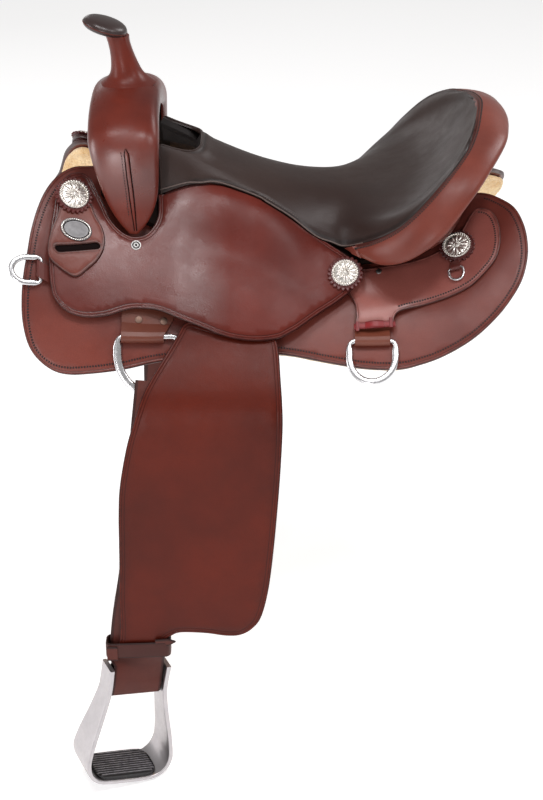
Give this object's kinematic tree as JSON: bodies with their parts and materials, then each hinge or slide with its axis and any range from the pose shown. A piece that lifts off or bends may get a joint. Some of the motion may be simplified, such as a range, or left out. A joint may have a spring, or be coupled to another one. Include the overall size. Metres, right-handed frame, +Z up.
{
  "type": "gaited western saddle",
  "caption": "Gaited western saddle with padded dark seat, slim horn and swell, rounded skirts, fenders, turned stirrups and free dees.",
  "frame": {"origin": "on the centre plane, where the horse's spine lies under the lowest part of the seat", "axes": "+X from horn to cantle (rearward), +Y to the off (right) side, +Z up"},
  "size_m": [0.6275, 0.6018, 0.9459],
  "materials": {
    "leather_chestnut": "oiled chestnut skirting leather, grained",
    "leather_dark": "oiled red-brown skirting leather, grained",
    "leather_charcoal": "soft charcoal seat leather, matte",
    "seat_foam": "foam seat padding under the seat leather",
    "strainer_steel": "sheet steel ground seat",
    "tree_wood": "sealed wood tree",
    "fleece": "cream fleece lining",
    "silver_plate": "bright plated ornament",
    "stainless": "polished stainless wire",
    "satin_aluminium": "satin aluminium bow",
    "tread_rubber": "black ribbed rubber tread"
  },
  "bodies": {
    "saddle": {"seat_leather": "leather_charcoal", "seat_foam_pad": "seat_foam", "ground_seat_strainer": "strainer_steel", "swell_cover": "leather_chestnut", "tree_fork": "tree_wood", "horn_neck": "leather_chestnut", "horn_cap": "leather_dark", "cantle_roll": "leather_chestnut", "tree_cantle": "tree_wood", "cantle_back": "leather_chestnut", "skirt_near": "leather_chestnut", "skirt_off": "leather_chestnut", "fleece_near": "fleece", "fleece_off": "fleece", "tree_bar_near": "tree_wood", "tree_bar_off": "tree_wood", "seat_jockey_near": "leather_chestnut", "seat_jockey_off": "leather_chestnut", "rear_jockey_near": "leather_chestnut", "rear_jockey_off": "leather_chestnut", "latigo_keeper_near": "leather_dark", "latigo_keeper_off": "leather_dark", "keeper_badge_near": "silver_plate", "keeper_badge_off": "silver_plate", "concho_front_near": "silver_plate", "concho_front_off": "silver_plate", "concho_mid_near": "silver_plate", "concho_mid_off": "silver_plate", "concho_rear_near": "silver_plate", "concho_rear_off": "silver_plate", "front_rigging_plate_near": "leather_dark", "front_rigging_plate_off": "leather_dark", "rear_rigging_loop_near": "leather_dark", "rear_rigging_loop_off": "leather_dark", "breast_tab_near": "leather_dark", "breast_tab_off": "leather_dark", "small_dee_strap_near": "leather_dark", "small_dee_strap_off": "leather_dark"},
    "fender_hanger_near": {"stirrup_hanger_near": "leather_dark"},
    "fender_leg_near": {"fender_near": "leather_dark", "stirrup_leather_near": "leather_dark", "hobble_strap_near": "leather_dark"},
    "stirrup_assembly_near": {"stirrup_near": "satin_aluminium", "stirrup_bolt_near": "stainless", "stirrup_tread_near": "tread_rubber"},
    "front_dee_ring_near": {"front_dee_near": "stainless"},
    "rear_dee_ring_near": {"rear_dee_near": "stainless"},
    "breast_dee_ring_near": {"breast_dee_near": "stainless"},
    "small_dee_ring_near": {"small_dee_near": "stainless"},
    "fender_hanger_off": {"stirrup_hanger_off": "leather_dark"},
    "fender_leg_off": {"fender_off": "leather_dark", "stirrup_leather_off": "leather_dark", "hobble_strap_off": "leather_dark"},
    "stirrup_assembly_off": {"stirrup_off": "satin_aluminium", "stirrup_bolt_off": "stainless", "stirrup_tread_off": "tread_rubber"},
    "front_dee_ring_off": {"front_dee_off": "stainless"},
    "rear_dee_ring_off": {"rear_dee_off": "stainless"},
    "breast_dee_ring_off": {"breast_dee_off": "stainless"},
    "small_dee_ring_off": {"small_dee_off": "stainless"}
  },
  "joints": [
    {"name": "fender_swing_near", "type": "hinge", "parent": "saddle", "child": "fender_hanger_near", "pos_m": [-0.105, -0.10859, 0.0189], "axis": [0.072, -0.8625, 0.5009], "range_deg": [-3, 2]},
    {"name": "fender_lift_near", "type": "hinge", "parent": "fender_hanger_near", "child": "fender_leg_near", "pos_m": [-0.0505, -0.18461, -0.05556], "axis": [-0.9747, 0.1215, 0.1875], "range_deg": [0, 45]},
    {"name": "stirrup_tilt_near", "type": "hinge", "parent": "fender_leg_near", "child": "stirrup_assembly_near", "pos_m": [-0.17875, -0.24769, -0.528], "axis": [0.8982, 0.3999, -0.1822], "range_deg": [-35, 35]},
    {"name": "front_dee_hinge_near", "type": "hinge", "parent": "saddle", "child": "front_dee_ring_near", "pos_m": [-0.15, -0.18583, -0.05936], "axis": [-0.9908, -0.1234, 0.0563], "range_deg": [0, 2]},
    {"name": "rear_dee_hinge_near", "type": "hinge", "parent": "saddle", "child": "rear_dee_ring_near", "pos_m": [0.1225, -0.1818, -0.06701], "axis": [-0.9935, 0.0944, -0.0644], "range_deg": [0, 75]},
    {"name": "breast_dee_hinge_near", "type": "hinge", "parent": "saddle", "child": "breast_dee_ring_near", "pos_m": [-0.2775, -0.16195, 0.01774], "axis": [0, 0.5511, 0.8345], "range_deg": [0, 110]},
    {"name": "small_dee_hinge_near", "type": "hinge", "parent": "saddle", "child": "small_dee_ring_near", "pos_m": [0.224, -0.13311, 0.00883], "axis": [-0.9549, 0.0139, -0.2966], "range_deg": [0, 100]},
    {"name": "fender_swing_off", "type": "hinge", "parent": "saddle", "child": "fender_hanger_off", "pos_m": [-0.105, 0.10859, 0.0189], "axis": [-0.072, -0.8625, -0.5009], "range_deg": [-3, 2]},
    {"name": "fender_lift_off", "type": "hinge", "parent": "fender_hanger_off", "child": "fender_leg_off", "pos_m": [-0.0505, 0.18461, -0.05556], "axis": [0.9747, 0.1215, -0.1875], "range_deg": [0, 45]},
    {"name": "stirrup_tilt_off", "type": "hinge", "parent": "fender_leg_off", "child": "stirrup_assembly_off", "pos_m": [-0.1682, 0.24769, -0.528], "axis": [-0.9123, 0.4062, -0.0523], "range_deg": [-35, 35]},
    {"name": "front_dee_hinge_off", "type": "hinge", "parent": "saddle", "child": "front_dee_ring_off", "pos_m": [-0.15, 0.18583, -0.05936], "axis": [0.9908, -0.1234, -0.0563], "range_deg": [0, 2]},
    {"name": "rear_dee_hinge_off", "type": "hinge", "parent": "saddle", "child": "rear_dee_ring_off", "pos_m": [0.1225, 0.1818, -0.06701], "axis": [0.9935, 0.0944, 0.0644], "range_deg": [0, 75]},
    {"name": "breast_dee_hinge_off", "type": "hinge", "parent": "saddle", "child": "breast_dee_ring_off", "pos_m": [-0.2775, 0.16195, 0.01774], "axis": [0, -0.5511, 0.8345], "range_deg": [0, 110]},
    {"name": "small_dee_hinge_off", "type": "hinge", "parent": "saddle", "child": "small_dee_ring_off", "pos_m": [0.224, 0.13311, 0.00883], "axis": [0.9549, 0.0139, 0.2966], "range_deg": [0, 100]}
  ]
}
